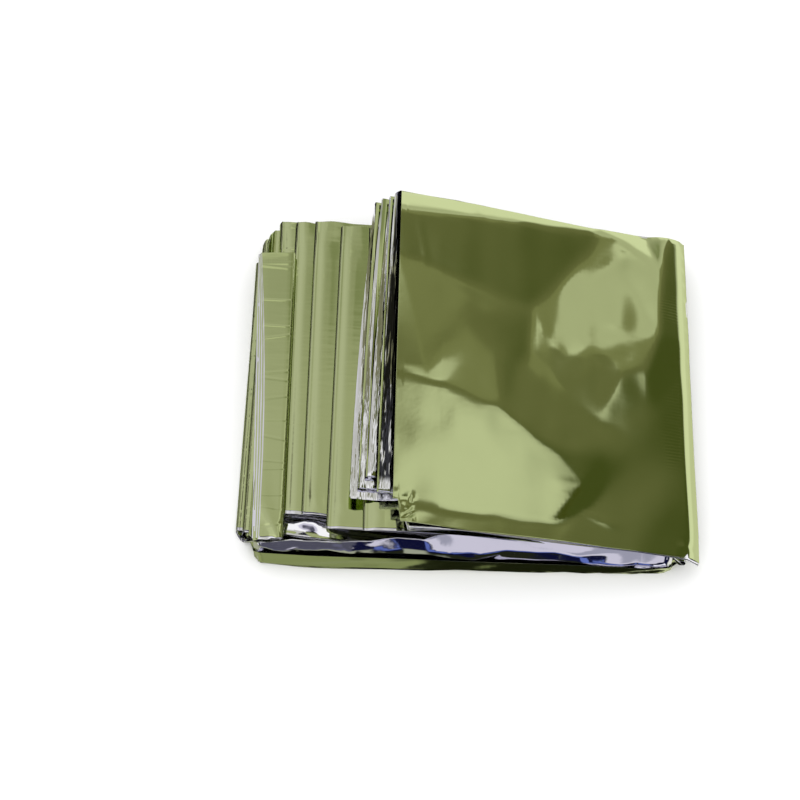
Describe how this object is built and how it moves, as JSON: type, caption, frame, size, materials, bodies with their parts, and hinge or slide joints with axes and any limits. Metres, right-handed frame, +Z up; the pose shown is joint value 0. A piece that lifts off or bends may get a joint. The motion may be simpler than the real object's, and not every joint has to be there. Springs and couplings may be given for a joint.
{
  "type": "folded emergency foil blanket",
  "caption": "Thin metallised foil sheet, folded to a strip and stacked back and forth in a loose wedge-shaped pile with a raised top panel.",
  "frame": {"origin": "middle of the pile's footprint, on the surface that it lies on", "axes": "+X across the pile, from the fanned folds at the left to the pressed end of the panel at the right; +Y from the pile's loose front to its back; +Z up"},
  "size_m": [0.203, 0.1785, 0.046],
  "materials": {
    "foil": "metallised film, olive green outside and silver inside, soft mirror gloss with creases"
  },
  "bodies": {
    "root": {"foil_blanket": "foil"}
  },
  "joints": []
}
